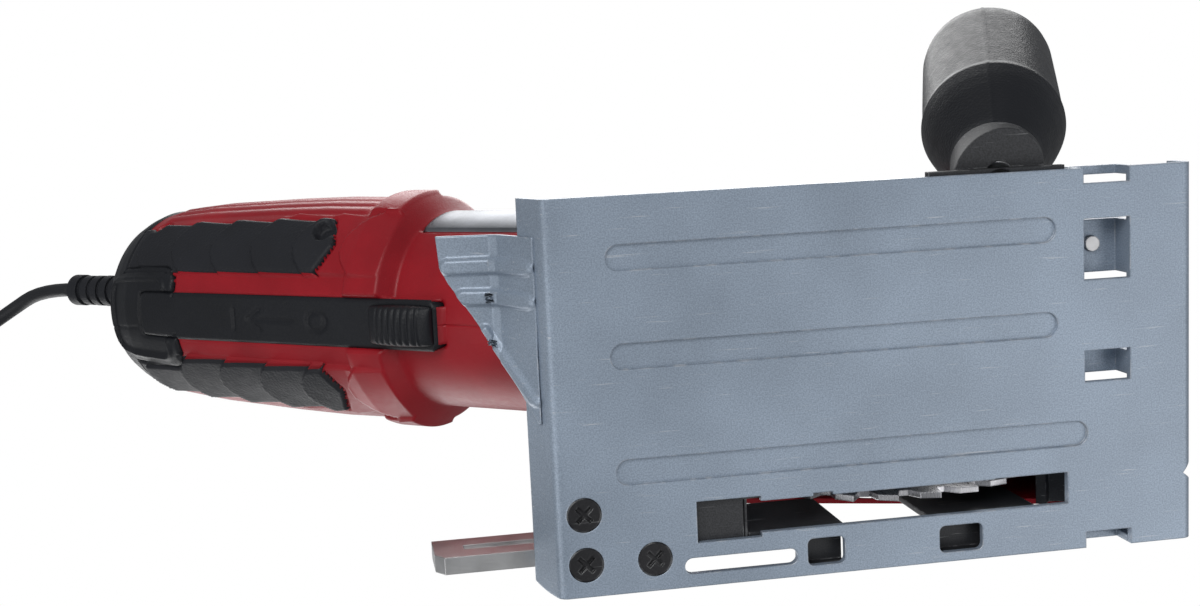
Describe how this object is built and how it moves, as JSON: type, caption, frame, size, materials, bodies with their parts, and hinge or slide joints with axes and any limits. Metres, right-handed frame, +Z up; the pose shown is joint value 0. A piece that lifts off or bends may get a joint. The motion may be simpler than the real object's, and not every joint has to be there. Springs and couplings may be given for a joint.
{
  "type": "compact circular saw",
  "caption": "Compact in-line plunge circular saw: slim motor body hinged on a pressed steel sole, with guarded blade, front knob, depth bar and mains cord.",
  "frame": {"origin": "centre of the underside of the sole plate", "axes": "+X forward along the cut, +Y left towards the blade side, +Z up from the work"},
  "size_m": [0.4047, 0.1526, 0.2779],
  "materials": {
    "sole_paint": "satin blue-grey enamel on pressed steel",
    "cast_dark": "black powder coat on die casting",
    "black_oxide": "black oxide steel",
    "steel": "machined steel",
    "bar_steel": "bright zinc-plated steel",
    "blade_steel": "ground saw steel",
    "grip_black": "textured black plastic",
    "soft_black": "soft over-moulded grip",
    "guard_dark": "black painted guard",
    "housing_red": "deep red moulded plastic",
    "cast_alloy": "die-cast alloy",
    "plate_metal": "grey metallic plate",
    "carbon": "carbon",
    "brass": "bright",
    "copper": "enamelled copper",
    "cord_rubber": "matt black sheath"
  },
  "bodies": {
    "base": {"base_plate": "sole_paint", "guide_straps": "sole_paint", "finger_guard": "sole_paint", "rear_bracket": "cast_dark", "slot_fences": "guard_dark", "sole_screws": "black_oxide", "hinge_bracket": "sole_paint", "hinge_pin": "steel", "return_spring": "steel", "knob_bracket": "cast_dark", "front_knob": "grip_black", "knob_stud": "steel", "cord_coil": "cord_rubber", "plug": "cord_rubber", "plug_pins": "brass"},
    "guide_clamp": {"guide_clamp_screw": "steel"},
    "depth_bar": {"depth_bar": "bar_steel"},
    "depth_clamp": {"depth_clamp_screw": "black_oxide"},
    "blade_set": {"spindle": "steel", "bevel_gear": "steel", "inner_flange": "steel", "outer_flange": "steel", "blade_bolt": "black_oxide", "saw_blade": "blade_steel"},
    "armature": {"armature_shaft": "steel", "armature_core": "steel", "cooling_fan": "grip_black", "commutator": "copper", "pinion": "steel"},
    "switch": {"switch_slider": "grip_black", "switch_link": "grip_black"},
    "lock": {"lock_button": "housing_red"},
    "saw_head": {"blade_guard": "guard_dark", "guard_cover": "housing_red", "dust_port": "grip_black", "gear_housing": "cast_alloy", "gear_cover": "cast_alloy", "gear_cover_screws": "steel", "lock_spring": "steel", "spindle_bearings": "steel", "armature_bearings": "steel", "carbon_brushes": "carbon", "brush_holders": "brass", "housing_screws": "black_oxide", "guard_screws": "black_oxide", "housing_right": "housing_red", "housing_left": "housing_red", "rear_cap": "grip_black", "grip_right": "soft_black", "grip_left": "soft_black", "nameplate": "plate_metal", "switch_rail": "grip_black", "switch_body": "grip_black", "stator": "steel", "field_coils": "copper", "cord_boot": "soft_black", "cord_clamp": "grip_black", "cord": "cord_rubber"}
  },
  "joints": [
    {"name": "plunge", "type": "hinge", "parent": "base", "child": "saw_head", "pos_m": [0.07, 0.034, 0.015], "axis": [0, -1, 0], "range_deg": [0, 20.5], "stiffness_Nm_per_rad": 4, "springref_deg": -57.3, "deforming": ["cord"]},
    {"name": "armature_spin", "type": "hinge", "parent": "saw_head", "child": "armature", "pos_m": [-0.0646, -0.007, 0.11078], "axis": [0.766, 0, -0.6428], "continuous": true},
    {"name": "blade_spin", "type": "hinge", "parent": "saw_head", "child": "blade_set", "pos_m": [0.012, 0.033, 0.0465], "axis": [0, 1, 0], "continuous": true},
    {"name": "switch_slide", "type": "slide", "parent": "saw_head", "child": "switch", "axis": [-0.766, 0, 0.6428], "range_m": [0, 0.01]},
    {"name": "lock_press", "type": "slide", "parent": "saw_head", "child": "lock", "axis": [0, 1, 0], "range_m": [0, 0.0022], "stiffness_N_per_m": 600, "springref_m": -0.001},
    {"name": "depth_slide", "type": "slide", "parent": "base", "child": "depth_bar", "axis": [1, 0, 0], "range_m": [-0.018, 0.006]},
    {"name": "depth_clamp_turn", "type": "hinge", "parent": "base", "child": "depth_clamp", "pos_m": [-0.069, 0.0535, 0.0285], "axis": [0, 1, 0], "range_deg": [0, 180]},
    {"name": "guide_clamp_turn", "type": "hinge", "parent": "base", "child": "guide_clamp", "pos_m": [0.061, -0.03, 0.018], "axis": [0, 0, 1], "range_deg": [0, 180]}
  ],
  "couplings": [
    {"joint": "blade_spin", "follows": "armature_spin", "ratio": -0.3}
  ]
}
